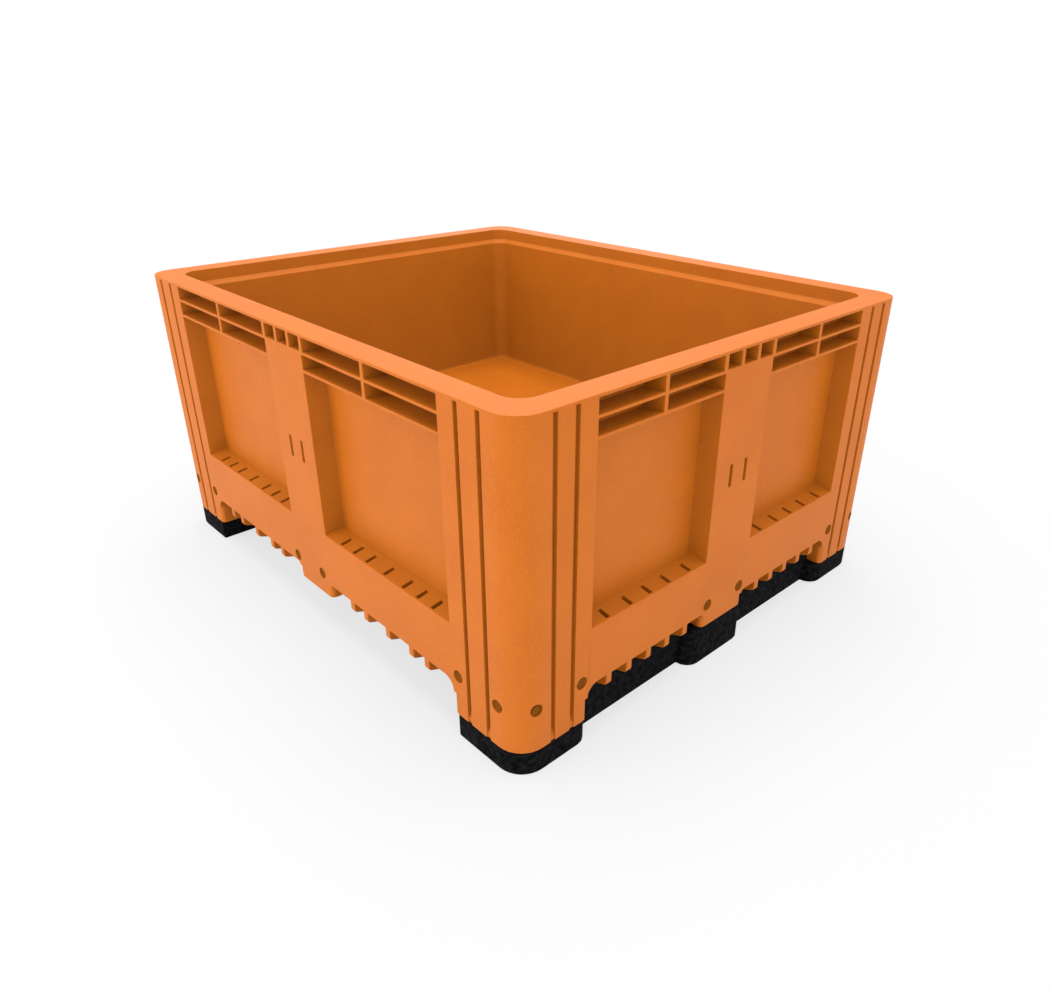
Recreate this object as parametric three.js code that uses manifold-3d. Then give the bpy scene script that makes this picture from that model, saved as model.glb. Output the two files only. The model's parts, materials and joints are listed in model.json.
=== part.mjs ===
// Pallet bin: a one-piece moulded box on hollow legs, two moulded runners and the pins that hold them.
// Millimetres, +Z up. The origin is at floor level under the middle of the bin, X runs along its length.
import * as THREE from 'three';
import { mergeVertices } from 'three/addons/utils/BufferGeometryUtils.js';
import Module from 'manifold-3d';

const wasm = await Module();
wasm.setup();

// Overall size
const LENGTH = 1200;
const WIDTH = 1000;
const HEIGHT = 595;
const CORNER_RADIUS = 48;

// Rim and the inside
const RIM_WIDTH = 50;
const RIM_PLATE = 5;
const SEAT_DEPTH = 25;
const SEAT_STEP = 8;
const SEAT_SLOPE = 9;
const INNER_CORNER_RADIUS = 36;
const WALL_DRAFT = 4;
const FLOOR_TOP = 232;
const FLOOR_THICKNESS = 7;
const FLOOR_FILLET = 10;

// Skins of the hollow mouldings
const SKIN = 6;
const LEG_WALL = 4;
const LEDGE_THICKNESS = 7;

// Recessed panels in the outer faces
const RECESS_DEPTH = 40;
const RECESS_DRAFT = 3;
const PANEL_BOTTOM = 219;
const LEDGE_RISE = 7;
const PANEL_DROP = 66;
const PANEL_TOP = HEIGHT - PANEL_DROP;
const SHELF = 5;
const CELL_HEIGHT = 26;
const MULLION = 8;
const MID_POST = 130;
const SMALL_CELLS = 3;
const SMALL_CELL_GAP = 8;
const GATE_MARK = { length: 16, height: 4, depth: 3, setback: 2.5 };

// Slots and grooves
const GROOVE_WIDTH = 9;
const GROOVE_DEPTH = 8;
const DRAIN_WIDTH = 8;
const DRAIN_SETBACK = 4;
const DRAIN_LENGTH = 22;
const POST_SLOT_WIDTH = 8;
const POST_SLOT_DEPTH = 8;
const POST_SLOT_SPACING = 41;
const POST_SLOT_LOW = 351;
const POST_SLOT_HIGH = 393;

// Legs, lower edge of the walls and the ribs under the floor
const LEG_BOTTOM = 45;
const MID_LEG_BOTTOM = 79;
const MID_LEG = 122;
const RUNNER_WIDTH = 150;
const RUNNER_EDGE_INSET = 9;
const LEG_X = RUNNER_WIDTH + RUNNER_EDGE_INSET;
const LEG_Y = 146;
const LEG_EDGE_RADIUS = 10;
const SKIRT_BOTTOM = 109;
const ARCH_RADIUS = 22;
const MID_ARCH_RADIUS = 6;
const RIB_THICKNESS = 8;
const RIB_BOTTOM = MID_LEG_BOTTOM;
const RIB_NOSE_WIDTH = 13;
const RIB_NOSE_TOP = 93;
const RIB_NOSE_RADIUS = 6;
const RIB_SLOPE_RUN = 28;

// Pins and their holes
const PIN_HOLE_RADIUS = 7.8;
const PIN_HEIGHT = 124;
const PIN_SPACING = 95;
const PIN_WALL = 1.5;
const PIN_RECESS = 3;
const PIN_LENGTH = 30;
const PIN_DIMPLE_RADIUS = 3.6;
const PIN_DIMPLE_DEPTH = 1.8;
const BARE_HOLE_SHIFT = -15;

// Runners
const FOOT_CORNER = 10;
const BEAM_SETBACK = 28;
const BEAM_WIDTH = 92;
const BEAM_TOP = 76;
const TENON_TOP = 146;
const TENON_WALL = 16;
const TENON_FLOOR = 14;
const TENON_OUTER_GAP = 15;
const TENON_EDGE_RADIUS = 5;

// Clearances
const FIT = 1;
const PIN_FIT = 0.3;
const SEAT_GAP = 0.3;

// How far the cutting solids run past the material
const OVER = 2;
const ARC_STEPS = 4;
const SMALL_ARC_STEPS = 2;
const ROUND_STEPS = 12;
const HOLE_STEPS = 10;

const MOULDED_ORANGE = new THREE.MeshStandardMaterial({ color: 0xe8803f, roughness: 0.62, metalness: 0 });
const PIN_ORANGE = new THREE.MeshStandardMaterial({ color: 0xc8682c, roughness: 0.55, metalness: 0 });
const RECYCLED_BLACK = new THREE.MeshStandardMaterial({ color: 0x1f1f20, roughness: 0.8, metalness: 0 });

// The long faces look along Y and the short faces along X. Places on a face run from its middle.
const LONG_FACE = {
  half: LENGTH / 2,
  reach: WIDTH / 2,
  cornerPost: 160,
  legWidth: LEG_X,
  cornerPin: 49.7,
  grooves: [72, 119],
  drainPitch: 55.5,
  drainSidePitch: 41,
  drainsPerSide: 3,
  gateShift: 60,
  ribPitch: 71,
  ribSidePitch: 45,
  ribsPerSide: 2,
};
const SHORT_FACE = {
  half: WIDTH / 2,
  reach: LENGTH / 2,
  cornerPost: 150,
  legWidth: LEG_Y,
  cornerPin: 36.7,
  grooves: [70, 111],
  drainPitch: 47.5,
  drainSidePitch: 54,
  drainsPerSide: 2,
  gateShift: -48,
  ribPitch: 49,
  ribSidePitch: 49,
  ribsPerSide: 2,
};
const FACES = [
  { ...LONG_FACE, name: 'front', turn: 0, hasRunner: false },
  { ...SHORT_FACE, name: 'right', turn: 1, hasRunner: true },
  { ...LONG_FACE, name: 'back', turn: 2, hasRunner: false },
  { ...SHORT_FACE, name: 'left', turn: 3, hasRunner: true },
];

// A closed three.js geometry as a solid for the boolean operations.
function solid(geometry) {
  const bare = geometry.clone();
  bare.deleteAttribute('uv');
  bare.deleteAttribute('normal');
  const welded = mergeVertices(bare, 1e-4);
  return new wasm.Manifold(new wasm.Mesh({
    numProp: 3,
    vertProperties: new Float32Array(welded.attributes.position.array),
    triVerts: new Uint32Array(welded.index.array),
  }));
}

function union(solids) {
  return solids.reduce((sum, item) => sum.add(item));
}

function meshOf(name, body, material) {
  const { vertProperties, triVerts } = body.getMesh();
  const geometry = new THREE.BufferGeometry();
  geometry.setAttribute('position', new THREE.BufferAttribute(vertProperties, 3));
  geometry.setIndex(new THREE.BufferAttribute(triVerts, 1));
  geometry.computeVertexNormals();
  const mesh = new THREE.Mesh(geometry, material);
  mesh.name = name;
  return mesh;
}

function box(x0, x1, y0, y1, z0, z1) {
  const geometry = new THREE.BoxGeometry(x1 - x0, y1 - y0, z1 - z0);
  return geometry.translate((x0 + x1) / 2, (y0 + y1) / 2, (z0 + z1) / 2);
}

// Outline of a rectangle with rounded corners, centred on the origin.
function roundedRectangle(halfX, halfY, radius) {
  const shape = new THREE.Shape();
  shape.moveTo(halfX - radius, -halfY);
  shape.absarc(halfX - radius, -halfY + radius, radius, -Math.PI / 2, 0);
  shape.absarc(halfX - radius, halfY - radius, radius, 0, Math.PI / 2);
  shape.absarc(-halfX + radius, halfY - radius, radius, Math.PI / 2, Math.PI);
  shape.absarc(-halfX + radius, -halfY + radius, radius, Math.PI, Math.PI * 1.5);
  shape.closePath();
  return shape;
}

// The bin's outline seen from above, moved inwards.
function binOutline(inset) {
  return roundedRectangle(LENGTH / 2 - inset, WIDTH / 2 - inset, CORNER_RADIUS - inset);
}

// A shape drawn in X and Y, raised from z0 to z1.
function raised(shape, z0, z1, curveSegments = ARC_STEPS) {
  const options = { depth: z1 - z0, bevelEnabled: false, curveSegments };
  return new THREE.ExtrudeGeometry(shape, options).translate(0, 0, z0);
}

// A shape drawn as seen on a face, in X and Z, pushed in from depth d0 to d1 along +Y.
function pushed(shape, d0, d1) {
  const options = { depth: d1 - d0, bevelEnabled: false, curveSegments: ARC_STEPS };
  return new THREE.ExtrudeGeometry(shape, options).rotateX(Math.PI / 2).translate(0, d1, 0);
}

// A shape drawn in depth and height, in Y and Z, swept along X from s0 to s1.
function swept(shape, s0, s1) {
  const options = { depth: s1 - s0, bevelEnabled: false, curveSegments: 1 };
  const turn = new THREE.Matrix4().makeBasis(
    new THREE.Vector3(0, 1, 0),
    new THREE.Vector3(0, 0, 1),
    new THREE.Vector3(1, 0, 0),
  );
  return new THREE.ExtrudeGeometry(shape, options).applyMatrix4(turn).translate(s0, 0, 0);
}

function polygon(points) {
  return new THREE.Shape(points.map(([x, y]) => new THREE.Vector2(x, y)));
}

// Moves a geometry built on a face, X along it and Y inwards from it, to its place on the bin.
function onFace(face, geometry) {
  return geometry.translate(0, -face.reach, 0).rotateZ(face.turn * Math.PI / 2);
}

// A solid through rounded rectangles at rising heights, for the drafted inside of the bin.
function loft(rings) {
  const outlines = rings.map(({ z, halfX, halfY, radius }) => (
    roundedRectangle(halfX, halfY, radius).extractPoints(ARC_STEPS).shape
      .map((point) => [point.x, point.y, z])
  ));
  const count = outlines[0].length;
  const index = [];
  for (let level = 0; level < rings.length - 1; level += 1) {
    for (let i = 0; i < count; i += 1) {
      const a = level * count + i;
      const b = level * count + (i + 1) % count;
      index.push(a, b, b + count, a, b + count, a + count);
    }
  }
  const top = (rings.length - 1) * count;
  for (let i = 1; i < count - 1; i += 1) {
    index.push(0, i + 1, i);
    index.push(top, top + i, top + i + 1);
  }
  const geometry = new THREE.BufferGeometry();
  geometry.setAttribute('position', new THREE.Float32BufferAttribute(outlines.flat(2), 3));
  geometry.setIndex(index);
  return geometry;
}

// Places either side of a middle: the middle one, then one step of pitch and more of sidePitch.
function spread(middle, pitch, sidePitch, perSide) {
  const places = [middle];
  for (let i = 0; i < perSide; i += 1) {
    const offset = pitch + i * sidePitch;
    places.push(middle - offset, middle + offset);
  }
  return places;
}

function panelEdges(face) {
  return { near: MID_POST / 2, far: face.half - face.cornerPost };
}

function panelMiddle(face) {
  const { near, far } = panelEdges(face);
  return (near + far) / 2;
}

// The inside: a seat below the rim, drafted walls and a filleted floor.
function insideOfBin() {
  const halfX = LENGTH / 2 - RIM_WIDTH;
  const halfY = WIDTH / 2 - RIM_WIDTH;
  const ring = (z, inset) => ({
    z,
    halfX: halfX - inset,
    halfY: halfY - inset,
    radius: INNER_CORNER_RADIUS - inset / 2,
  });
  const floorInset = SEAT_STEP + WALL_DRAFT;
  const seat = HEIGHT - SEAT_DEPTH;
  return solid(loft([
    ring(FLOOR_TOP, floorInset + FLOOR_FILLET),
    ring(FLOOR_TOP + FLOOR_FILLET * 0.3, floorInset + FLOOR_FILLET * 0.3),
    ring(FLOOR_TOP + FLOOR_FILLET, floorInset),
    ring(seat - SEAT_SLOPE, SEAT_STEP),
    ring(seat, 0),
    ring(HEIGHT + OVER, 0),
  ]));
}

// One pocket in a face, narrower at the back so that the mould draws.
function pocket(face, s0, s1, z0, z1) {
  const outline = polygon([
    [s0, -OVER],
    [s1, -OVER],
    [s1 - RECESS_DRAFT, RECESS_DEPTH],
    [s0 + RECESS_DRAFT, RECESS_DEPTH],
  ]);
  return solid(onFace(face, raised(outline, z0, z1)));
}

// A big panel recess whose floor slopes down to the outer face.
function panelRecess(face, s0, s1) {
  const ledge = polygon([
    [-OVER - 1, PANEL_BOTTOM - OVER],
    [RECESS_DEPTH + 1, PANEL_BOTTOM - OVER],
    [RECESS_DEPTH + 1, PANEL_BOTTOM + LEDGE_RISE],
    [0, PANEL_BOTTOM],
    [-OVER - 1, PANEL_BOTTOM],
  ]);
  return pocket(face, s0, s1, PANEL_BOTTOM, PANEL_TOP)
    .subtract(solid(onFace(face, swept(ledge, s0 - 1, s1 + 1))));
}

function faceRecesses(face) {
  const { near, far } = panelEdges(face);
  const middle = panelMiddle(face);
  const lowRow = PANEL_TOP + SHELF;
  const highRow = lowRow + CELL_HEIGHT + SHELF;
  const highRowTop = HEIGHT - RIM_PLATE;
  const cuts = [];
  for (const side of [-1, 1]) {
    const split = side * middle;
    const ends = [side * near, side * far].sort((a, b) => a - b);
    cuts.push(panelRecess(face, ...ends));
    cuts.push(pocket(face, ends[0], split - MULLION / 2, lowRow, lowRow + CELL_HEIGHT));
    cuts.push(pocket(face, split + MULLION / 2, ends[1], lowRow, lowRow + CELL_HEIGHT));
    const highEnds = [side * (near + SHELF), side * far].sort((a, b) => a - b);
    cuts.push(pocket(face, highEnds[0], split - MULLION / 2, highRow, highRowTop));
    cuts.push(pocket(face, split + MULLION / 2, highEnds[1], highRow, highRowTop));
  }
  const band = MID_POST - SMALL_CELL_GAP;
  const cell = (band - SMALL_CELL_GAP * (SMALL_CELLS - 1)) / SMALL_CELLS;
  for (let i = 0; i < SMALL_CELLS; i += 1) {
    const start = -band / 2 + i * (cell + SMALL_CELL_GAP);
    cuts.push(pocket(face, start, start + cell, highRow, highRowTop));
  }
  return union(cuts);
}

// A small raised mark under the lowest shelf of each panel.
function gateMarks(face) {
  const middle = panelMiddle(face);
  return union([middle, -middle].map((place) => {
    const start = place + face.gateShift - GATE_MARK.length / 2;
    return solid(onFace(face, box(
      start, start + GATE_MARK.length,
      GATE_MARK.setback, GATE_MARK.setback + GATE_MARK.depth,
      PANEL_TOP - GATE_MARK.height, PANEL_TOP + 1,
    )));
  }));
}

function faceSlots(face) {
  const cuts = [];
  for (const side of [-1, 1]) {
    const places = spread(side * panelMiddle(face), face.drainPitch, face.drainSidePitch, face.drainsPerSide);
    for (const place of places) {
      cuts.push(box(
        place - DRAIN_WIDTH / 2, place + DRAIN_WIDTH / 2,
        DRAIN_SETBACK, DRAIN_SETBACK + DRAIN_LENGTH,
        PANEL_BOTTOM - LEDGE_THICKNESS - OVER, PANEL_BOTTOM + LEDGE_RISE + OVER,
      ));
    }
    const slot = side * POST_SLOT_SPACING / 2;
    const half = POST_SLOT_WIDTH / 2;
    cuts.push(box(slot - half, slot + half, -OVER, POST_SLOT_DEPTH, POST_SLOT_LOW, POST_SLOT_HIGH));
  }
  return union(cuts.map((cut) => solid(onFace(face, cut))));
}

// The wall behind the two blind slots of a middle post.
function slotBacks(face) {
  const half = (POST_SLOT_SPACING + POST_SLOT_WIDTH) / 2 + LEG_WALL;
  return solid(onFace(face, box(
    -half, half,
    SKIN / 2, POST_SLOT_DEPTH + LEG_WALL,
    POST_SLOT_LOW - LEG_WALL, POST_SLOT_HIGH + LEG_WALL,
  )));
}

function groovePlaces(face) {
  return face.grooves.flatMap((fromEnd) => [face.half - fromEnd, fromEnd - face.half]);
}

// The wall behind each groove, kept when the corner posts and legs are hollowed.
function grooveBacks(face) {
  const half = GROOVE_WIDTH / 2 + LEG_WALL;
  return union(groovePlaces(face).map((place) => solid(onFace(face, box(
    place - half, place + half,
    SKIN / 2, GROOVE_DEPTH + LEG_WALL,
    LEG_BOTTOM, HEIGHT - RIM_PLATE,
  )))));
}

function grooves(face) {
  return union(groovePlaces(face).map((place) => solid(onFace(face, box(
    place - GROOVE_WIDTH / 2, place + GROOVE_WIDTH / 2,
    -OVER, GROOVE_DEPTH,
    LEG_BOTTOM - OVER, HEIGHT - RIM_PLATE,
  )))));
}

// The openings between the legs, with a wide round at the corner leg and a tight one at the middle.
function archCuts(face) {
  const s0 = MID_LEG / 2;
  const s1 = face.half - face.legWidth;
  const shape = new THREE.Shape();
  shape.moveTo(s0, LEG_BOTTOM - OVER);
  shape.lineTo(s1, LEG_BOTTOM - OVER);
  shape.absarc(s1 - ARCH_RADIUS, SKIRT_BOTTOM - ARCH_RADIUS, ARCH_RADIUS, 0, Math.PI / 2);
  shape.absarc(s0 + MID_ARCH_RADIUS, SKIRT_BOTTOM - MID_ARCH_RADIUS, MID_ARCH_RADIUS, Math.PI / 2, Math.PI);
  shape.closePath();
  const half = pushed(shape, -OVER, SKIN + OVER);
  const other = half.clone().rotateZ(Math.PI).translate(0, SKIN, 0);
  const middle = box(-s0 - 1, s0 + 1, -OVER, SKIN + OVER, LEG_BOTTOM - OVER, MID_LEG_BOTTOM);
  return union([half, other, middle].map((cut) => solid(onFace(face, cut))));
}

// Rounds a leg's upright edge up to the height given. The corner is at (x, y) and the material lies
// towards (x + dx, y + dy).
function edgeRounding(x, y, dx, dy, top) {
  const radius = LEG_EDGE_RADIUS;
  const block = box(
    Math.min(x - dx, x + dx * radius), Math.max(x - dx, x + dx * radius),
    Math.min(y - dy, y + dy * radius), Math.max(y - dy, y + dy * radius),
    LEG_BOTTOM - OVER, top,
  );
  const height = SKIRT_BOTTOM - LEG_BOTTOM + OVER * 2;
  const bar = new THREE.CylinderGeometry(radius, radius, height, ROUND_STEPS).rotateX(Math.PI / 2);
  bar.translate(x + dx * radius, y + dy * radius, LEG_BOTTOM - OVER * 2 + height / 2);
  return solid(block).subtract(solid(bar));
}

function legRoundings() {
  const cuts = [];
  const legX = LENGTH / 2 - LEG_X;
  const legY = WIDTH / 2 - LEG_Y;
  const mid = MID_LEG / 2;
  const top = SKIRT_BOTTOM - ARCH_RADIUS;
  const midTop = SKIRT_BOTTOM - MID_ARCH_RADIUS;
  for (const sx of [-1, 1]) {
    for (const sy of [-1, 1]) {
      cuts.push(edgeRounding(sx * legX, sy * WIDTH / 2, sx, -sy, top));
      cuts.push(edgeRounding(sx * LENGTH / 2, sy * legY, -sx, sy, top));
      cuts.push(edgeRounding(sx * mid, sy * WIDTH / 2, -sx, -sy, midTop));
      cuts.push(edgeRounding(sx * LENGTH / 2, sy * mid, -sx, -sy, midTop));
    }
  }
  return union(cuts);
}

// A hollow leg that hangs under the floor. Its outer walls are the skirt where it stands at a wall.
function legTube(x0, x1, y0, y1, bottom) {
  const middle = [(x0 + x1) / 2, (y0 + y1) / 2];
  const halfX = (x1 - x0) / 2;
  const halfY = (y1 - y0) / 2;
  const top = FLOOR_TOP - FLOOR_THICKNESS + 1;
  const outline = roundedRectangle(halfX, halfY, LEG_EDGE_RADIUS);
  const cavity = roundedRectangle(halfX - LEG_WALL, halfY - LEG_WALL, LEG_EDGE_RADIUS - LEG_WALL);
  const outer = raised(outline, bottom, top, SMALL_ARC_STEPS);
  const inner = raised(cavity, bottom - OVER, top - 1, 1);
  outer.translate(middle[0], middle[1], 0);
  inner.translate(middle[0], middle[1], 0);
  return solid(outer).subtract(solid(inner));
}

function legs() {
  const legX = LENGTH / 2 - LEG_X;
  const legY = WIDTH / 2 - LEG_Y;
  const mid = MID_LEG / 2;
  const list = [legTube(-mid, mid, -LEG_Y / 2, LEG_Y / 2, MID_LEG_BOTTOM)];
  for (const sx of [-1, 1]) {
    const x0 = sx > 0 ? legX : -LENGTH / 2;
    list.push(legTube(x0, x0 + LEG_X, -mid, mid, MID_LEG_BOTTOM));
    for (const sy of [-1, 1]) {
      const y0 = sy > 0 ? legY : -WIDTH / 2;
      list.push(legTube(x0, x0 + LEG_X, y0, y0 + LEG_Y, LEG_BOTTOM));
    }
  }
  for (const sy of [-1, 1]) {
    const y0 = sy > 0 ? legY : -WIDTH / 2;
    list.push(legTube(-mid, mid, y0, y0 + LEG_Y, MID_LEG_BOTTOM));
  }
  return union(list);
}

// Adds a rib's nose: a round from the skirt's face, then a slope down to the rib's lower edge.
function addNose(shape) {
  shape.lineTo(-1, RIB_NOSE_TOP);
  shape.absarc(RIB_NOSE_RADIUS, RIB_NOSE_TOP, RIB_NOSE_RADIUS, Math.PI, Math.PI * 1.4);
  shape.lineTo(RIB_SLOPE_RUN, RIB_BOTTOM);
}

// Half of a rib, from its nose under a face to the depth given.
function rib(face, place, depth) {
  const floorUnder = FLOOR_TOP - FLOOR_THICKNESS + 1;
  const step = RECESS_DEPTH + RIM_WIDTH / 4;
  const bandTop = PANEL_BOTTOM - LEDGE_THICKNESS + 1;
  const web = new THREE.Shape();
  web.moveTo(step, floorUnder);
  web.lineTo(step, bandTop);
  web.lineTo(-1, bandTop);
  addNose(web);
  web.lineTo(depth, RIB_BOTTOM);
  web.lineTo(depth, floorUnder);
  web.closePath();
  const nose = new THREE.Shape();
  nose.moveTo(-1, SKIRT_BOTTOM + RIB_NOSE_RADIUS);
  addNose(nose);
  nose.closePath();
  const parts = [[web, RIB_THICKNESS], [nose, RIB_NOSE_WIDTH]];
  return union(parts.map(([shape, width]) => (
    solid(onFace(face, swept(shape, place - width / 2, place + width / 2)))
  )));
}

// Ribs run through from front to back. Behind the short faces they end at a cross rib between the
// legs, apart from the one in the middle of each panel, which runs through to the other end.
function ribs() {
  const floorUnder = FLOOR_TOP - FLOOR_THICKNESS + 1;
  const crossX = LENGTH / 2 - LEG_X + LEG_WALL;
  const legY = WIDTH / 2 - LEG_Y + LEG_WALL / 2;
  const list = [];
  for (const face of FACES) {
    const toCrossRib = face.hasRunner ? LEG_X : face.reach + 1;
    for (const side of [-1, 1]) {
      const middle = side * panelMiddle(face);
      const places = spread(middle, face.ribPitch, face.ribSidePitch, face.ribsPerSide);
      list.push(...places.map((place) => (
        rib(face, place, place === middle ? face.reach + 1 : toCrossRib)
      )));
    }
  }
  for (const x of [crossX - RIB_THICKNESS, -crossX]) {
    list.push(solid(box(x, x + RIB_THICKNESS, -legY, legY, RIB_BOTTOM, floorUnder)));
  }
  return union(list);
}

// The open space under the floor, inside the skirt, and the hollows of the posts.
function underside() {
  const halfX = LENGTH / 2;
  const halfY = WIDTH / 2;
  const bandTop = PANEL_BOTTOM - LEDGE_THICKNESS;
  const floorInset = RIM_WIDTH + SEAT_STEP + WALL_DRAFT;
  const floorRing = roundedRectangle(halfX - floorInset, halfY - floorInset, INNER_CORNER_RADIUS);
  return solid(raised(binOutline(SKIN), LEG_BOTTOM - OVER, bandTop))
    .add(solid(raised(floorRing, bandTop - 1, FLOOR_TOP - FLOOR_THICKNESS)));
}

function cornerPostHollows() {
  const halfX = LENGTH / 2;
  const halfY = WIDTH / 2;
  const low = PANEL_BOTTOM - LEDGE_THICKNESS - 1;
  const high = HEIGHT - RIM_PLATE * 2;
  const innerRadius = INNER_CORNER_RADIUS + RIM_WIDTH - RECESS_DEPTH;
  const inner = roundedRectangle(halfX - RECESS_DEPTH, halfY - RECESS_DEPTH, innerRadius);
  const ring = solid(raised(binOutline(SKIN), low, high)).subtract(solid(raised(inner, low - 1, high + 1)));
  const x0 = halfX - LONG_FACE.cornerPost + SKIN;
  const y0 = halfY - SHORT_FACE.cornerPost + SKIN;
  const corners = [];
  for (const sx of [-1, 1]) {
    for (const sy of [-1, 1]) {
      const a = sx > 0 ? x0 : -halfX;
      const b = sy > 0 ? y0 : -halfY;
      corners.push(solid(box(a, a + halfX - x0, b, b + halfY - y0, low - 1, high + 1)));
    }
  }
  return ring.intersect(union(corners));
}

function midPostHollow(face) {
  const half = MID_POST / 2 - SKIN;
  return solid(onFace(face, box(
    -half, half,
    SKIN, RECESS_DEPTH,
    PANEL_BOTTOM - LEDGE_THICKNESS - 1, PANEL_TOP + SHELF + CELL_HEIGHT,
  )));
}

// Where a face's corner pins sit: one by the leg's inner wall, one by the corner of the bin.
function pinPlaces(face) {
  const fromEdge = LEG_WALL + FIT + PIN_WALL + PIN_HOLE_RADIUS;
  const corner = [face.half - face.legWidth + fromEdge, face.half - face.cornerPin];
  return [...corner, ...corner.map((place) => -place)];
}

function midPinPlaces() {
  return [-PIN_SPACING / 2, PIN_SPACING / 2];
}

function hole(face, place, depth) {
  const bar = new THREE.CylinderGeometry(PIN_HOLE_RADIUS, PIN_HOLE_RADIUS, depth + OVER, HOLE_STEPS);
  bar.translate(place, (depth - OVER) / 2, PIN_HEIGHT);
  return solid(onFace(face, bar));
}

function pinHoles(face, depth) {
  const middles = midPinPlaces().map((place) => (face.hasRunner ? place : place + BARE_HOLE_SHIFT));
  return union([...pinPlaces(face), ...middles].map((place) => hole(face, place, depth)));
}

function binBody() {
  const hull = solid(raised(binOutline(0), LEG_BOTTOM, HEIGHT));
  let body = hull
    .subtract(insideOfBin())
    .subtract(underside())
    .add(legs().intersect(hull))
    .subtract(cornerPostHollows());
  for (const face of FACES) {
    body = body
      .subtract(midPostHollow(face))
      .subtract(faceRecesses(face))
      .subtract(archCuts(face))
      .add(grooveBacks(face))
      .add(slotBacks(face))
      .add(gateMarks(face));
  }
  body = body.add(ribs().intersect(hull)).subtract(legRoundings());
  for (const face of FACES) {
    body = body
      .subtract(grooves(face))
      .subtract(faceSlots(face))
      .subtract(pinHoles(face, SKIN * 2 + OVER));
  }
  return body;
}

// A foot seen from above. Outside, its -Y end swells round from the beam, and its +Y end goes back to
// the beam at 45 degrees. Inside, both ends do.
function footOutline(y0, y1) {
  const outer = LENGTH / 2;
  const inner = outer - RUNNER_WIDTH;
  const beamOuter = outer - BEAM_SETBACK;
  const beamInner = beamOuter - BEAM_WIDTH;
  const innerSetback = beamInner - inner;
  const half = FOOT_CORNER * Math.SQRT1_2;
  const shape = new THREE.Shape();
  shape.moveTo(inner, y0);
  shape.lineTo(beamInner, y0 - innerSetback);
  shape.absarc(beamOuter, y0, BEAM_SETBACK, -Math.PI / 2, 0);
  shape.lineTo(outer, y1 - FOOT_CORNER);
  shape.quadraticCurveTo(outer, y1, outer - half, y1 + half);
  shape.lineTo(beamOuter, y1 + BEAM_SETBACK);
  shape.lineTo(beamInner, y1 + innerSetback);
  shape.lineTo(inner, y1);
  shape.closePath();
  return shape;
}

// The upstand of a foot that fits inside its leg, open at the top.
function tenon(y0, y1, footTop) {
  const x0 = LENGTH / 2 - LEG_X + LEG_WALL + FIT;
  const x1 = LENGTH / 2 - TENON_OUTER_GAP;
  const at = [(x0 + x1) / 2, (y0 + y1) / 2, 0];
  const halfX = (x1 - x0) / 2;
  const halfY = (y1 - y0) / 2;
  const outline = roundedRectangle(halfX, halfY, TENON_EDGE_RADIUS);
  const cavity = roundedRectangle(halfX - TENON_WALL, halfY - TENON_WALL, TENON_EDGE_RADIUS);
  const block = raised(outline, footTop - 1, TENON_TOP, 1);
  const cup = raised(cavity, footTop + TENON_FLOOR, TENON_TOP + OVER, 1);
  return solid(block.translate(...at)).subtract(solid(cup.translate(...at)));
}

// The runner under the +X end. It is the same from both ends, so the other one is turned round.
function runner() {
  const cornerTop = LEG_BOTTOM - SEAT_GAP;
  const midTop = MID_LEG_BOTTOM - SEAT_GAP;
  const legInside = LEG_WALL + FIT;
  const legY = WIDTH / 2 - LEG_Y;
  const footY = legY + RUNNER_EDGE_INSET;
  const beamEnd = legY - FIT;
  const beamOuter = LENGTH / 2 - BEAM_SETBACK;
  const midHalf = MID_LEG / 2;
  const foot = (y0, y1, top) => solid(raised(footOutline(y0, y1), 0, top, SMALL_ARC_STEPS));
  const feet = foot(-midHalf, midHalf, midTop)
    .add(foot(footY, WIDTH, cornerTop))
    .add(foot(-WIDTH, -footY, cornerTop))
    .add(solid(box(beamOuter - BEAM_WIDTH, beamOuter, -beamEnd, beamEnd, 0, BEAM_TOP)))
    .intersect(solid(raised(binOutline(0), -OVER, HEIGHT)));
  const tenonEnd = WIDTH / 2 - TENON_OUTER_GAP;
  const tenons = tenon(legY + legInside, tenonEnd, cornerTop)
    .add(tenon(-tenonEnd, -legY - legInside, cornerTop))
    .add(tenon(-midHalf + legInside, midHalf - legInside, midTop))
    .intersect(solid(raised(binOutline(TENON_OUTER_GAP), -OVER, HEIGHT)));
  const bores = FACES.map((face) => pinHoles(face, TENON_OUTER_GAP + TENON_WALL + OVER * 2));
  return feet.add(tenons).subtract(union(bores));
}

// A pin with a small dimple in its head, along +Y from the outer face.
function pinGeometry() {
  const radius = PIN_HOLE_RADIUS - PIN_FIT;
  const profile = [
    [0, PIN_DIMPLE_DEPTH],
    [PIN_DIMPLE_RADIUS, 0],
    [radius, 0],
    [radius, PIN_LENGTH],
    [0, PIN_LENGTH],
  ];
  const points = profile.map(([x, y]) => new THREE.Vector2(x, y));
  return new THREE.LatheGeometry(points, HOLE_STEPS);
}

function pinGroup() {
  const group = new THREE.Group();
  const geometry = pinGeometry();
  for (const face of FACES) {
    const places = face.hasRunner ? [...pinPlaces(face), ...midPinPlaces()] : pinPlaces(face);
    const faceGroup = new THREE.Group();
    faceGroup.rotation.z = face.turn * Math.PI / 2;
    places.sort((a, b) => a - b).forEach((place, i) => {
      const pin = new THREE.Mesh(geometry, PIN_ORANGE);
      pin.name = `runner_pin_${face.name}_${i + 1}`;
      pin.position.set(place, PIN_RECESS - face.reach, PIN_HEIGHT);
      faceGroup.add(pin);
    });
    group.add(faceGroup);
  }
  return group;
}

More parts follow.
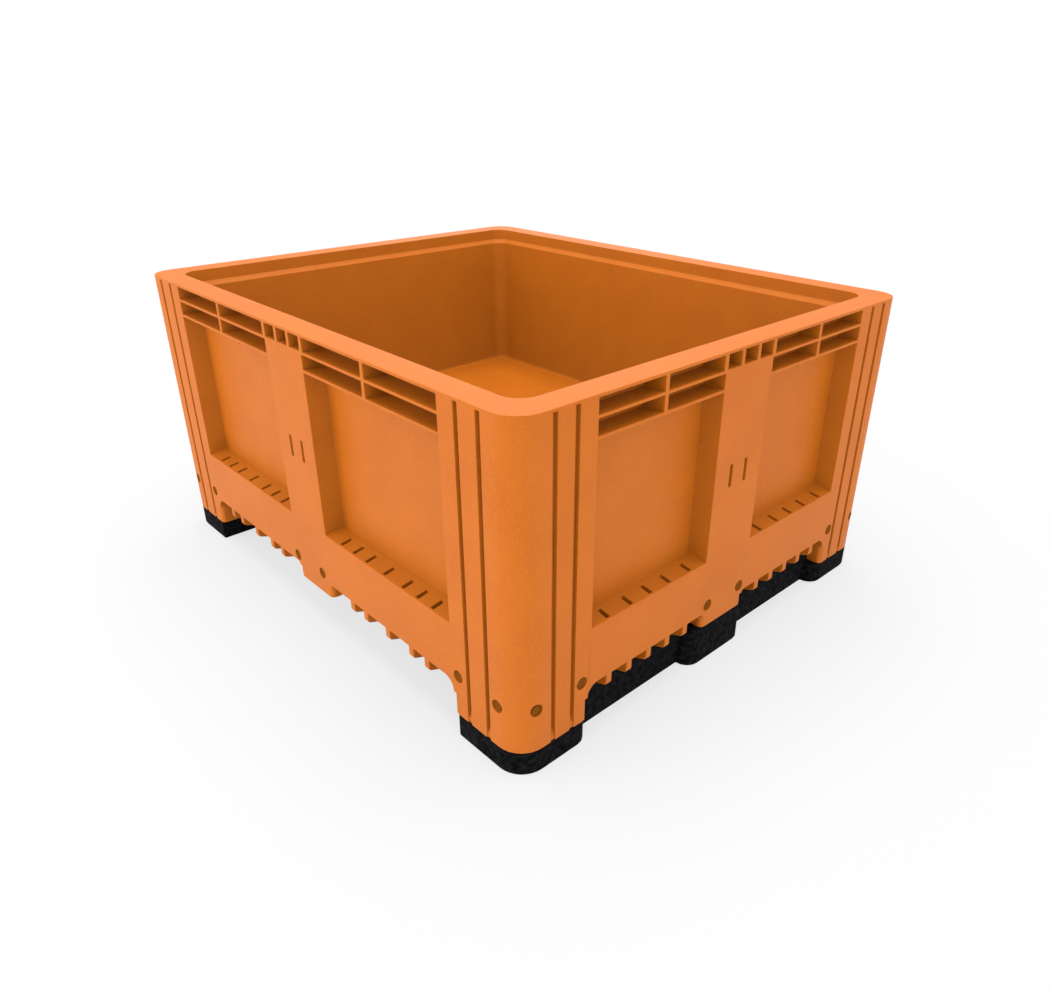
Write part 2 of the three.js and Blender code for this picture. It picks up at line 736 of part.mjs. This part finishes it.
function palletBin() {
  const group = new THREE.Group();
  group.add(meshOf('bin_body', binBody(), MOULDED_ORANGE));
  const right = meshOf('runner_right', runner(), RECYCLED_BLACK);
  const left = right.clone();
  left.name = 'runner_left';
  left.rotation.z = Math.PI;
  group.add(right, left, pinGroup());
  return group;
}

export default palletBin();
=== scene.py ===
"""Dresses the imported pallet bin: its moulded body, its two runners and the pins that hold them."""

import json
import logging
import math
from dataclasses import dataclass
from enum import Enum
from typing import Sequence

import bmesh
import bpy
from mathutils import Matrix, Vector

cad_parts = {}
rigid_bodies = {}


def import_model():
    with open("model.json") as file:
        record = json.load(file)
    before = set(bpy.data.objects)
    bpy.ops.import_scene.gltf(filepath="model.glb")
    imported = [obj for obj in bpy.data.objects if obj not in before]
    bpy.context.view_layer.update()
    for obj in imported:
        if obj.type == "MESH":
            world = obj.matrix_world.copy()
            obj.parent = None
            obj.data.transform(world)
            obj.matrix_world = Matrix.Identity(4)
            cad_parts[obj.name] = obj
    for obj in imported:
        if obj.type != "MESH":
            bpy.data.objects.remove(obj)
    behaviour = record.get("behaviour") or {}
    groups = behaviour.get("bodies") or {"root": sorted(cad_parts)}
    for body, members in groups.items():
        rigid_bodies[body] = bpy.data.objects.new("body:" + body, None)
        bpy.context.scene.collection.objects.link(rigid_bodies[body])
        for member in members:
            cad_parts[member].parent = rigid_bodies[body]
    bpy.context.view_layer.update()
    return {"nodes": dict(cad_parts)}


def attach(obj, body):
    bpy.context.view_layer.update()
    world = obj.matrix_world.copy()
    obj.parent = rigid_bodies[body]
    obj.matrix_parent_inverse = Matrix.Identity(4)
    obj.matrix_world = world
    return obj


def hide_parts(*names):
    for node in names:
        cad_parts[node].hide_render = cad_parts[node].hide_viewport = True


log = logging.getLogger("pallet_bin")

MM = 0.001
BODY = "root"

# Edges that turn further than SHARP are rounded. Faces that turn less than SMOOTH shade as one.
SHARP = math.radians(35)
SMOOTH = math.radians(30)
FINE_SHARE = 0.25
WELD_MM = 0.02
LEVEL_PLAY_MM = 0.1
ROUND_SIDES = 32
FACES_UP = 0.9

# The Mix node's colour sockets share their names with its others, so they go by number.
MIX_SHARE = 0
MIX_FIRST = 6
MIX_SECOND = 7
MIX_RESULT = 2

Colour = tuple[float, float, float, float]
WHITE: Colour = (1.0, 1.0, 1.0, 1.0)


class Face(Enum):
    """The bin's four sides, each with its quarter turns from the front."""

    FRONT = 0
    RIGHT = 1
    BACK = 2
    LEFT = 3


class Slot(Enum):
    """The record's material slots for the pieces that stand in for CAD nodes."""

    ORANGE = "orange_hdpe"
    BLACK = "black_recycled_plastic"


class Skin(Enum):
    """The body's own material slots, by number. Only edges of the outside are rounded."""

    OUTSIDE = 0
    # The pin holes' mouths and the bare holes' bottoms, in painted shade.
    HOLES = 1
    RAMPS = 2


def linear(hex_colour: str) -> Colour:
    """Turns an sRGB colour into the linear one that the shaders take.

    Args:
        hex_colour: Six hex digits, with or without a leading #.

    Returns:
        Red, green, blue and an alpha of 1.
    """
    digits = hex_colour.lstrip("#")
    channels = [int(digits[i : i + 2], 16) / 255 for i in (0, 2, 4)]
    red, green, blue = [
        c / 12.92 if c <= 0.04045 else ((c + 0.055) / 1.055) ** 2.4 for c in channels
    ]
    return (red, green, blue, 1.0)


def add_node(
    tree: bpy.types.NodeTree,
    kind: str,
    settings: dict[str, object] | None = None,
    inputs: dict[str | int, object] | None = None,
) -> bpy.types.Node:
    """Adds a node with its settings and its inputs, linked or set.

    Args:
        tree: The node tree that the node goes into.
        kind: The node's Blender type, such as ShaderNodeTexNoise.
        settings: Properties of the node itself.
        inputs: Input sockets by name or number. A socket given as a value is linked to.

    Returns:
        The new node.
    """
    node = tree.nodes.new(kind)
    for name, value in (settings or {}).items():
        setattr(node, name, value)
    for name, value in (inputs or {}).items():
        if isinstance(value, bpy.types.NodeSocket):
            tree.links.new(value, node.inputs[name])
        else:
            node.inputs[name].default_value = value
    return node


def seen_ray(tree: bpy.types.NodeTree) -> bpy.types.NodeSocket:
    """Tells the rays that show a surface, straight or in a reflection, from those that light it.

    Args:
        tree: The node tree.

    Returns:
        1 for a camera, glossy or transmission ray, and 0 for any other.
    """
    path = add_node(tree, "ShaderNodeLightPath").outputs
    straight = add_node(
        tree,
        "ShaderNodeMath",
        {"operation": "MAXIMUM"},
        {0: path["Is Camera Ray"], 1: path["Is Glossy Ray"]},
    ).outputs[0]
    return add_node(
        tree,
        "ShaderNodeMath",
        {"operation": "MAXIMUM"},
        {0: straight, 1: path["Is Transmission Ray"]},
    ).outputs[0]


def blank_material(name: str) -> bpy.types.Material:
    """Makes a material with an empty node tree.

    Args:
        name: The material's name.

    Returns:
        The new material.
    """
    material = bpy.data.materials.new(name)
    material.use_nodes = True
    material.node_tree.nodes.clear()
    return material


@dataclass(frozen=True)
class MouldedHdpe:
    """High-density polyethylene, injection moulded against a lightly sparked steel mould.

    The eye sees a soft, waxy sheen, a fine even grain, and faint cloudy changes of shade
    where the melt flowed.
    """

    name: str
    shade: str
    deep: str
    pale: str
    roughness: float = 0.52
    roughness_play: float = 0.06
    grain_mm: float = 3.0
    grain_detail: float = 3.0
    grain_range: tuple[float, float] = (0.45, 0.75)
    grain_depth_mm: float = 0.12
    grain_strength: float = 0.35
    cloud_mm: float = 90.0
    cloud_detail: float = 4.0
    cloud_range: tuple[float, float] = (0.35, 0.65)
    ior: float = 1.42
    gloss: float = 0.44
    bounce: str = "#8C8C8C"

    def make(self) -> bpy.types.Material:
        """Builds the node tree.

        Returns:
            The finished material.
        """
        material = blank_material(self.name)
        tree = material.node_tree
        place = add_node(tree, "ShaderNodeTexCoord").outputs["Object"]
        # The real grain is well under a millimetre, and is drawn coarser so that it shows.
        grain = add_node(
            tree,
            "ShaderNodeTexNoise",
            inputs={
                "Vector": place,
                "Scale": 1 / (self.grain_mm * MM),
                "Detail": self.grain_detail,
            },
        ).outputs["Fac"]
        cloud = add_node(
            tree,
            "ShaderNodeTexNoise",
            inputs={
                "Vector": place,
                "Scale": 1 / (self.cloud_mm * MM),
                "Detail": self.cloud_detail,
            },
        ).outputs["Fac"]
        cloud_share = add_node(
            tree,
            "ShaderNodeMapRange",
            inputs={
                "Value": cloud,
                "From Min": self.cloud_range[0],
                "From Max": self.cloud_range[1],
            },
        ).outputs["Result"]
        clouded = add_node(
            tree,
            "ShaderNodeMix",
            {"data_type": "RGBA"},
            {
                MIX_SHARE: cloud_share,
                MIX_FIRST: linear(self.deep),
                MIX_SECOND: linear(self.shade),
            },
        ).outputs[MIX_RESULT]
        grain_share = add_node(
            tree,
            "ShaderNodeMapRange",
            inputs={
                "Value": grain,
                "From Min": self.grain_range[0],
                "From Max": self.grain_range[1],
            },
        ).outputs["Result"]
        grained = add_node(
            tree,
            "ShaderNodeMix",
            {"data_type": "RGBA"},
            {MIX_SHARE: grain_share, MIX_FIRST: clouded, MIX_SECOND: linear(self.pale)},
        ).outputs[MIX_RESULT]
        # Light that leaves the plastic for another surface is grey, which real plastic doesn't do.
        # It keeps the hollows from turning redder than the photograph shows them.
        shown = add_node(
            tree,
            "ShaderNodeMix",
            {"data_type": "RGBA"},
            {
                MIX_SHARE: add_node(tree, "ShaderNodeLightPath").outputs["Is Diffuse Ray"],
                MIX_FIRST: grained,
                MIX_SECOND: linear(self.bounce),
            },
        ).outputs[MIX_RESULT]
        rough = add_node(
            tree,
            "ShaderNodeMapRange",
            inputs={
                "Value": grain,
                "To Min": self.roughness - self.roughness_play,
                "To Max": self.roughness + self.roughness_play,
            },
        ).outputs["Result"]
        bump = add_node(
            tree,
            "ShaderNodeBump",
            inputs={
                "Height": grain,
                "Strength": self.grain_strength,
                "Distance": self.grain_depth_mm * MM,
            },
        ).outputs["Normal"]
        shader = add_node(
            tree,
            "ShaderNodeBsdfPrincipled",
            inputs={
                "Base Color": shown,
                "Roughness": rough,
                "IOR": self.ior,
                "Specular IOR Level": self.gloss,
                "Normal": bump,
            },
        )
        add_node(tree, "ShaderNodeOutputMaterial", inputs={"Surface": shader.outputs[0]})
        return material


@dataclass(frozen=True)
class RecycledPlastic:
    """Black plastic pressed from mixed regrind.

    The eye sees a dull, nearly black surface, blotched with dark grey where the pieces of
    regrind have not run together, and a slightly uneven skin.
    """

    name: str = "pressed_recycled_plastic"
    black: str = "#080809"
    grey: str = "#262629"
    roughness: float = 0.7
    ior: float = 1.5
    gloss: float = 0.02
    blotch_mm: float = 9.0
    blotch_detail: float = 6.0
    blotch_range: tuple[float, float] = (0.36, 0.74)
    speck_mm: float = 5.0
    speck_detail: float = 2.0
    speck_depth_mm: float = 0.4
    speck_strength: float = 0.4

    def make(self) -> bpy.types.Material:
        """Builds the node tree.

        Returns:
            The finished material.
        """
        material = blank_material(self.name)
        tree = material.node_tree
        place = add_node(tree, "ShaderNodeTexCoord").outputs["Object"]
        blotch = add_node(
            tree,
            "ShaderNodeTexNoise",
            inputs={
                "Vector": place,
                "Scale": 1 / (self.blotch_mm * MM),
                "Detail": self.blotch_detail,
            },
        ).outputs["Fac"]
        speck = add_node(
            tree,
            "ShaderNodeTexNoise",
            inputs={
                "Vector": place,
                "Scale": 1 / (self.speck_mm * MM),
                "Detail": self.speck_detail,
            },
        ).outputs["Fac"]
        blotch_share = add_node(
            tree,
            "ShaderNodeMapRange",
            inputs={
                "Value": blotch,
                "From Min": self.blotch_range[0],
                "From Max": self.blotch_range[1],
            },
        ).outputs["Result"]
        colour = add_node(
            tree,
            "ShaderNodeMix",
            {"data_type": "RGBA"},
            {
                MIX_SHARE: blotch_share,
                MIX_FIRST: linear(self.black),
                MIX_SECOND: linear(self.grey),
            },
        ).outputs[MIX_RESULT]
        bump = add_node(
            tree,
            "ShaderNodeBump",
            inputs={
                "Height": speck,
                "Strength": self.speck_strength,
                "Distance": self.speck_depth_mm * MM,
            },
        ).outputs["Normal"]
        shader = add_node(
            tree,
            "ShaderNodeBsdfPrincipled",
            inputs={
                "Base Color": colour,
                "Roughness": self.roughness,
                "IOR": self.ior,
                "Specular IOR Level": self.gloss,
                "Normal": bump,
            },
        )
        add_node(tree, "ShaderNodeOutputMaterial", inputs={"Surface": shader.outputs[0]})
        return material


@dataclass(frozen=True)
class StudioPaper:
    """Matt white backdrop paper. It takes the bin's shadow, and fades to pure white further out."""

    name: str = "matt_white_paper"
    shade: str = "#F5F5F5"
    roughness: float = 0.95
    own_white: float = 0.7
    fade_from: float = 0.75
    fade_to: float = 1.6

    def make(self) -> bpy.types.Material:
        """Builds the node tree.

        Returns:
            The finished material.
        """
        material = blank_material(self.name)
        tree = material.node_tree
        place = add_node(tree, "ShaderNodeTexCoord").outputs["Object"]
        reach = add_node(
            tree, "ShaderNodeVectorMath", {"operation": "LENGTH"}, {0: place}
        ).outputs["Value"]
        fade = add_node(
            tree,
            "ShaderNodeMapRange",
            {"interpolation_type": "SMOOTHSTEP"},
            {
                "Value": reach,
                "From Min": self.fade_from,
                "From Max": self.fade_to,
                "To Min": self.own_white,
            },
        ).outputs["Result"]
        shown = add_node(
            tree, "ShaderNodeMath", {"operation": "MULTIPLY"}, {0: fade, 1: seen_ray(tree)}
        ).outputs[0]
        paper = add_node(
            tree,
            "ShaderNodeBsdfPrincipled",
            inputs={"Base Color": linear(self.shade), "Roughness": self.roughness},
        ).outputs[0]
        white = add_node(
            tree,
            "ShaderNodeEmission",
            inputs={"Color": WHITE, "Strength": 1.0},
        ).outputs[0]
        both = add_node(tree, "ShaderNodeMixShader", inputs={0: shown, 1: paper, 2: white})
        add_node(tree, "ShaderNodeOutputMaterial", inputs={"Surface": both.outputs[0]})
        return material


def deselect_all() -> None:
    """Leaves every object unselected, since operators act on all that is selected."""
    for each in bpy.data.objects:
        each.select_set(False)


def make_active(piece: bpy.types.Object) -> None:
    """Selects one piece alone and makes it the active one.

    Args:
        piece: The piece.
    """
    deselect_all()
    piece.select_set(True)
    bpy.context.view_layer.objects.active = piece


def apply_modifiers(piece: bpy.types.Object) -> None:
    """Applies every modifier of a piece, in order.

    Args:
        piece: The piece.
    """
    make_active(piece)
    for name in [modifier.name for modifier in piece.modifiers]:
        bpy.ops.object.modifier_apply(modifier=name)


def welded_copy(node: bpy.types.Object, name: str) -> bpy.types.Object:
    """Copies a CAD node and joins the corners of its loose triangles.

    Args:
        node: The CAD node's object, which is left as it is.
        name: The new piece's name.

    Returns:
        The new piece.
    """
    piece = bpy.data.objects.new(name, node.data.copy())
    bpy.context.collection.objects.link(piece)
    piece.data.materials.clear()
    make_active(piece)
    bpy.ops.object.mode_set(mode="EDIT")
    bpy.ops.mesh.select_all(action="SELECT")
    bpy.ops.mesh.remove_doubles(threshold=WELD_MM * MM)
    bpy.ops.object.mode_set(mode="OBJECT")
    return piece


def weigh_edges(
    piece: bpy.types.Object, fine_below_mm: float, sharp_at_mm: Sequence[float]
) -> None:
    """Marks the sharp edges of a piece for rounding, each with its share of the radius.

    Args:
        piece: The piece.
        fine_below_mm: Edges that lie wholly below this height get FINE_SHARE of the radius.
        sharp_at_mm: Level edges at these heights get none, nor does any edge of a face that
            isn't in the first material slot.
    """
    shape = bmesh.new()
    shape.from_mesh(piece.data)
    weight = shape.edges.layers.float.new("bevel_weight_edge")
    for edge in shape.edges:
        heights = [corner.co.z / MM for corner in edge.verts]
        kept = any(
            max(abs(height - level) for height in heights) < LEVEL_PLAY_MM for level in sharp_at_mm
        )
        kept = kept or any(face.material_index for face in edge.link_faces)
        if len(edge.link_faces) == 2 and edge.calc_face_angle() > SHARP and not kept:
            edge[weight] = FINE_SHARE if max(heights) < fine_below_mm else 1.0
    shape.to_mesh(piece.data)
    shape.free()


def soften_edges(
    piece: bpy.types.Object,
    radius_mm: float,
    fine_below_mm: float = 0.0,
    sharp_at_mm: Sequence[float] = (),
) -> None:
    """Rounds the sharp edges of a piece and shades it smooth between them.

    Args:
        piece: The piece.
        radius_mm: The radius of the rounding.
        fine_below_mm: Edges wholly below this height get FINE_SHARE of the radius.
        sharp_at_mm: Level edges at these heights stay sharp.
    """
    weigh_edges(piece, fine_below_mm, sharp_at_mm)
    bevel = piece.modifiers.new("edge_radius", "BEVEL")
    bevel.width = radius_mm * MM
    bevel.segments = 2
    bevel.limit_method = "WEIGHT"
    bevel.use_clamp_overlap = False
    bevel.loop_slide = False
    bevel.miter_outer = "MITER_SHARP"
    apply_modifiers(piece)
    make_active(piece)
    bpy.ops.object.shade_smooth_by_angle(angle=SMOOTH)
    even = piece.modifiers.new("even_faces", "WEIGHTED_NORMAL")
    even.keep_sharp = True
    apply_modifiers(piece)


def stand_in(piece: bpy.types.Object, node: bpy.types.Object) -> None:
    """Puts a piece in the place of a CAD node, on the same body.

    Args:
        piece: The piece.
        node: The CAD node that it replaces.
    """
    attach(piece, BODY)
    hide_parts(node.name)


def merged_copies(
    pattern: bpy.types.Object, places: Sequence[Matrix], name: str
) -> bpy.types.Object:
    """Puts a copy of a pattern at each place, all in one new mesh, and removes the pattern.

    Args:
        pattern: The object to copy.
        places: Where each copy goes.
        name: The new object's name.

    Returns:
        The object that holds all the copies.
    """
    shape = bmesh.new()
    for place in places:
        copy = pattern.data.copy()
        copy.transform(place)
        shape.from_mesh(copy)
        bpy.data.meshes.remove(copy)
    mesh = bpy.data.meshes.new(name)
    shape.to_mesh(mesh)
    shape.free()
    merged = bpy.data.objects.new(name, mesh)
    bpy.context.collection.objects.link(merged)
    bpy.data.objects.remove(pattern)
    return merged


def combine(piece: bpy.types.Object, tool: bpy.types.Object, operation: str, skin: Skin) -> None:
    """Joins a tool to a piece or cuts it out, and removes the tool.

    Args:
        piece: The piece.
        tool: The shape that is joined or cut out.
        operation: UNION or DIFFERENCE.
        skin: The material slot that the tool's faces take on the piece.
    """
    for face in tool.data.polygons:
        face.material_index = skin.value
    change = piece.modifiers.new("combine", "BOOLEAN")
    change.operation = operation
    change.solver = "EXACT"
    change.object = tool
    apply_modifiers(piece)
    bpy.data.objects.remove(tool)


@dataclass
class BinBody:
    """The orange box with its rim, panels, floor and hollow legs, all one moulding.

    A place on a face runs from its middle, as seen with the face turned to the front.
    """

    node: bpy.types.Object
    pins: Sequence[bpy.types.Object]
    edge_radius_mm: float = 0.8
    underside_mm: float = 79.4
    small_ledges_mm: tuple[float, ...] = (87.0, 103.0, 211.0)
    corner_radius_mm: float = 48.0
    pin_height_mm: float = 124.0
    bare_holes_mm: tuple[float, float] = (-62.5, 32.5)
    hole_radius_mm: float = 7.8
    mouth_radius_mm: float = 11.2
    mouth_lip_mm: float = 1.5
    mouth_depth_mm: float = 4.5
    mouth_reach_mm: float = 6.0
    bottom_from_mm: float = 3.5
    bottom_thick_mm: float = 3.0
    bottom_radius_mm: float = 9.8
    grooves_long_mm: tuple[float, float] = (72.0, 119.0)
    grooves_short_mm: tuple[float, float] = (70.0, 111.0)
    groove_width_mm: float = 9.0
    groove_depth_mm: float = 8.0
    ramp_foot_mm: float = 45.6
    ramp_lip_mm: float = 52.0
    ramp_rise_mm: float = 16.0
    ramp_front_mm: float = 1.6
    ramp_overlap_mm: float = 0.2
    finish: MouldedHdpe = MouldedHdpe(
        "moulded_orange_hdpe", shade="#E8790C", deep="#E1730A", pale="#EC8112"
    )
    # The same plastic darkened with painted shade, for the pin holes' mouths and the bare holes'
    # bottoms. The eye sees a dull, uneven brown.
    grime: MouldedHdpe = MouldedHdpe(
        "pin_hole_grime",
        shade="#A85C0A",
        deep="#985008",
        pale="#B0640E",
        grain_mm=1.5,
        cloud_mm=12.0,
        gloss=0.08,
    )

    def build(self) -> list[bpy.types.Object]:
        """Adds the small forms to the moulding, rounds its edges and dresses it.

        Returns:
            The body's pieces.
        """
        body = welded_copy(self.node, "bin_body_moulding")
        plastic = self.finish.make()
        skins = {Skin.OUTSIDE: plastic, Skin.HOLES: self.grime.make(), Skin.RAMPS: plastic}
        for skin in Skin:
            body.data.materials.append(skins[skin])
        # The pin mouths and the bare holes' bottoms take the hole slot, which is painted shade.
        combine(body, self.pin_mouths(), "DIFFERENCE", Skin.HOLES)
        combine(body, self.hole_bottoms(), "UNION", Skin.HOLES)
        combine(body, self.groove_ends(), "UNION", Skin.RAMPS)
        soften_edges(body, self.edge_radius_mm, self.underside_mm, self.small_ledges_mm)
        stand_in(body, self.node)
        return [body]

    def half(self, face: Face) -> float:
        """Gives half the length of a face, in metres."""
        return max(abs(corner[face.value % 2]) for corner in self.node.bound_box)

    def on_face(self, face: Face, along: float, inward: float, height: float) -> Matrix:
        """Gives the matrix that puts a shape made for the front face on any face.

        Args:
            face: The face.
            along: The place along the face.
            inward: The depth below the flat of the face.
            height: The height above the floor.

        Returns:
            The matrix, in metres as its arguments.
        """
        other = Face((face.value + 1) % 4)
        place = Matrix.Translation((along, inward - self.half(other), height))
        return Matrix.Rotation(face.value * math.pi / 2, 4, "Z") @ place

    def in_hole(self, face: Face, along: float, inward: float) -> Matrix:
        """Gives the matrix that lays an upright shape in a pin hole, with its top outward.

        Args:
            face: The face.
            along: The hole's place along the face.
            inward: The depth of the shape's middle below the flat of the face.

        Returns:
            The matrix, in metres as its arguments.
        """
        upright = Matrix.Rotation(math.pi / 2, 4, "X")
        return self.on_face(face, along, inward, self.pin_height_mm * MM) @ upright

    def bare_places(self) -> list[tuple[Face, float]]:
        """Gives the face of each bare hole of the long faces and its place along it."""
        return [
            (face, along * MM) for face in (Face.FRONT, Face.BACK) for along in self.bare_holes_mm
        ]

    def pin_places(self) -> list[tuple[Face, float]]:
        """Finds the pin holes from the pins, and adds the bare ones.

        A pin's name has its face as the third word, as runner_pin_front_1 has.

        Returns:
            The face of each hole and its place along it.
        """
        places = self.bare_places()
        for pin in self.pins:
            face = Face[pin.name.split("_")[2].upper()]
            middle = sum((Vector(corner) for corner in pin.bound_box), Vector()) / 8
            turned = Matrix.Rotation(-face.value * math.pi / 2, 3, "Z") @ middle
            places.append((face, turned.x))
        return places

    def pin_mouths(self) -> bpy.types.Object:
        """Makes the funnels that open out each pin hole at the face.

        Returns:
            The funnels, to be cut out of the body.
        """
        depth = (self.mouth_depth_mm - self.mouth_lip_mm) * MM
        deselect_all()
        bpy.ops.mesh.primitive_cone_add(
            vertices=ROUND_SIDES,
            radius1=self.hole_radius_mm * MM,
            radius2=self.mouth_radius_mm * MM,
            depth=depth,
            location=(0, 0, 0),
        )
        funnel = bpy.context.active_object
        bpy.ops.object.mode_set(mode="EDIT")
        bpy.ops.mesh.select_mode(type="FACE")
        bpy.ops.mesh.select_all(action="DESELECT")
        bpy.ops.object.mode_set(mode="OBJECT")
        for side in funnel.data.polygons:
            side.select = side.normal.z > FACES_UP
        bpy.ops.object.mode_set(mode="EDIT")
        reach = self.mouth_reach_mm * MM
        bpy.ops.mesh.extrude_region_move(TRANSFORM_OT_translate={"value": (0, 0, reach)})
        bpy.ops.object.mode_set(mode="OBJECT")
        radius = self.corner_radius_mm * MM
        places = []
        for face, along in self.pin_places():
            past = max(0.0, abs(along) - self.half(face) + radius)
            skin = radius - math.sqrt(radius**2 - past**2)
            inward = skin + self.mouth_lip_mm * MM + depth / 2
            places.append(self.in_hole(face, along, inward))
        return merged_copies(funnel, places, "pin_mouths")

    def hole_bottoms(self) -> bpy.types.Object:
        """Makes the bottoms of the bare holes, which no light comes through, dark with painted
        shade.

        Returns:
            The bottoms, to be joined to the body.
        """
        deselect_all()
        bpy.ops.mesh.primitive_cylinder_add(
            vertices=ROUND_SIDES,
            radius=self.bottom_radius_mm * MM,
            depth=self.bottom_thick_mm * MM,
            location=(0, 0, 0),
        )
        disc = bpy.context.active_object
        inward = (self.bottom_from_mm + self.bottom_thick_mm / 2) * MM
        places = [self.in_hole(face, along, inward) for face, along in self.bare_places()]
        return merged_copies(disc, places, "hole_bottoms")

    def groove_ends(self) -> bpy.types.Object:
        """Makes the ramps in which the grooves of the corner posts run out above the feet.

        Returns:
            The ramps, to be joined to the body.
        """
        front = self.ramp_front_mm * MM
        back = (self.groove_depth_mm + self.ramp_overlap_mm) * MM
        foot = self.ramp_foot_mm * MM
        lip = self.ramp_lip_mm * MM
        width = (self.groove_width_mm + 2 * self.ramp_overlap_mm) * MM
        middle = Vector((0, (front + back) / 2, (foot + lip) / 2))
        deselect_all()
        bpy.ops.mesh.primitive_cube_add(
            size=1, location=middle, scale=(width, back - front, lip - foot)
        )
        end = bpy.context.active_object
        bpy.ops.object.transform_apply(location=True, rotation=True, scale=True)
        for corner in end.data.vertices:
            if corner.co.z > middle.z and corner.co.y > middle.y:
                corner.co.z += self.ramp_rise_mm * MM
        places = []
        for face in Face:
            grooves = self.grooves_short_mm if face.value % 2 else self.grooves_long_mm
            for from_end in grooves:
                for side in (-1, 1):
                    along = side * (self.half(face) - from_end * MM)
                    places.append(self.on_face(face, along, 0.0, 0.0))
        return merged_copies(end, places, "groove_ends")


@dataclass
class Runners:
    """The two black runners, pressed from recycled plastic."""

    nodes: Sequence[bpy.types.Object]
    edge_radius_mm: float = 3.0
    finish: RecycledPlastic = RecycledPlastic()

    def build(self) -> list[bpy.types.Object]:
        """Rounds both runners' edges and dresses them.

        Returns:
            The two runners.
        """
        material = self.finish.make()
        pieces = []
        for node in self.nodes:
            piece = welded_copy(node, f"{node.name}_pressing")
            piece.data.materials.append(material)
            soften_edges(piece, self.edge_radius_mm)
            stand_in(piece, node)
            pieces.append(piece)
        return pieces


@dataclass
class Pins:
    """The moulded pins, driven in below the faces of the legs. Their orange plastic is drawn brown,
    with painted shade.
    """

    nodes: Sequence[bpy.types.Object]
    # Orange pin plastic darkened to brown: painted shade of the recess the pins sit in.
    finish: MouldedHdpe = MouldedHdpe(
        "moulded_pin_plastic",
        shade="#96540A",
        deep="#824606",
        pale="#A05C0E",
        grain_mm=1.5,
        cloud_mm=12.0,
        gloss=0.08,
    )

    def build(self) -> list[bpy.types.Object]:
        """Dresses the pins where they are.

        Returns:
            The pins.
        """
        material = self.finish.make()
        for pin in self.nodes:
            pin.data.materials.clear()
            pin.data.materials.append(material)
        return list(self.nodes)


@dataclass(frozen=True)
class SoftLamp:
    """A square soft lamp: its name, its place and size in metres, and its power in watts."""

    name: str
    place: tuple[float, float, float]
    size: float
    watts: float


@dataclass
class Studio:
    """The white floor, the soft light and the camera, with their places in metres."""

    camera_place: tuple[float, float, float] = (1.3050, -1.1067, 0.9572)
    camera_turn_deg: tuple[float, float, float] = (62.86, -0.15, 46.99)
    focal_mm: float = 28.23
    sensor_mm: float = 36.0
    shift: tuple[float, float] = (-0.01956, 0.00617)
    floor_half: float = 12.0
    sky_strength: float = 0.62
    lamps: tuple[SoftLamp, ...] = (
        SoftLamp("front_light", (-0.9, -3.6, 1.5), size=2.6, watts=33.0),
        SoftLamp("side_light", (3.8, -0.4, 1.3), size=2.4, watts=10.0),
        SoftLamp("top_light", (0.0, 0.0, 3.8), size=3.0, watts=74.0),
        SoftLamp("back_light", (-2.5, 2.3, 1.7), size=2.0, watts=8.0),
    )
    lamp_aim: tuple[float, float, float] = (0.0, 0.0, 0.35)
    paper: StudioPaper = StudioPaper()

    def build(self) -> None:
        """Builds the floor, the world, the lamps and the camera."""
        self.floor()
        self.world()
        for lamp in self.lamps:
            self.hang(lamp)
        self.camera()

    def floor(self) -> None:
        """Lays the floor that the bin stands on."""
        deselect_all()
        bpy.ops.mesh.primitive_plane_add(size=2 * self.floor_half, location=(0, 0, 0))
        floor = bpy.context.active_object
        floor.name = "studio_floor"
        floor.data.materials.append(self.paper.make())

    def world(self) -> None:
        """Sets a plain sky that is white to the camera and softer as a light."""
        world = bpy.data.worlds.new("white_studio")
        world.use_nodes = True
        tree = world.node_tree
        tree.nodes.clear()
        strength = add_node(
            tree,
            "ShaderNodeMapRange",
            inputs={"Value": seen_ray(tree), "To Min": self.sky_strength},
        ).outputs["Result"]
        sky = add_node(
            tree,
            "ShaderNodeBackground",
            inputs={"Color": WHITE, "Strength": strength},
        )
        add_node(tree, "ShaderNodeOutputWorld", inputs={"Surface": sky.outputs[0]})
        bpy.context.scene.world = world

    def hang(self, lamp: SoftLamp) -> None:
        """Adds a lamp that faces the bin.

        Args:
            lamp: The lamp.
        """
        data = bpy.data.lights.new(lamp.name, "AREA")
        data.size = lamp.size
        data.energy = lamp.watts
        light = bpy.data.objects.new(lamp.name, data)
        bpy.context.collection.objects.link(light)
        light.location = lamp.place
        aim = Vector(self.lamp_aim) - Vector(lamp.place)
        light.rotation_euler = aim.to_track_quat("-Z", "Y").to_euler()

    def camera(self) -> None:
        """Places the camera where the photograph was taken from."""
        data = bpy.data.cameras.new("photo_camera")
        data.sensor_fit = "HORIZONTAL"
        data.sensor_width = self.sensor_mm
        data.lens = self.focal_mm
        data.shift_x, data.shift_y = self.shift
        camera = bpy.data.objects.new("photo_camera", data)
        bpy.context.collection.objects.link(camera)
        camera.location = self.camera_place
        camera.rotation_euler = [math.radians(angle) for angle in self.camera_turn_deg]
        bpy.context.scene.camera = camera


def main() -> None:
    """Builds and dresses the bin, piece by piece."""
    logging.basicConfig(level=logging.INFO, format="%(message)s")
    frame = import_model()
    nodes = frame["nodes"]
    bpy.context.scene.view_settings.view_transform = "Standard"
    Studio().build()
    pins = [node for name, node in sorted(nodes.items()) if name.startswith("runner_pin")]
    parts = [
        BinBody(nodes["bin_body"], pins),
        Runners([nodes["runner_right"], nodes["runner_left"]]),
        Pins(pins),
    ]
    for part in parts:
        for piece in part.build():
            log.info("%s: %d faces", piece.name, len(piece.data.polygons))


if __name__ == "__main__":
    main()
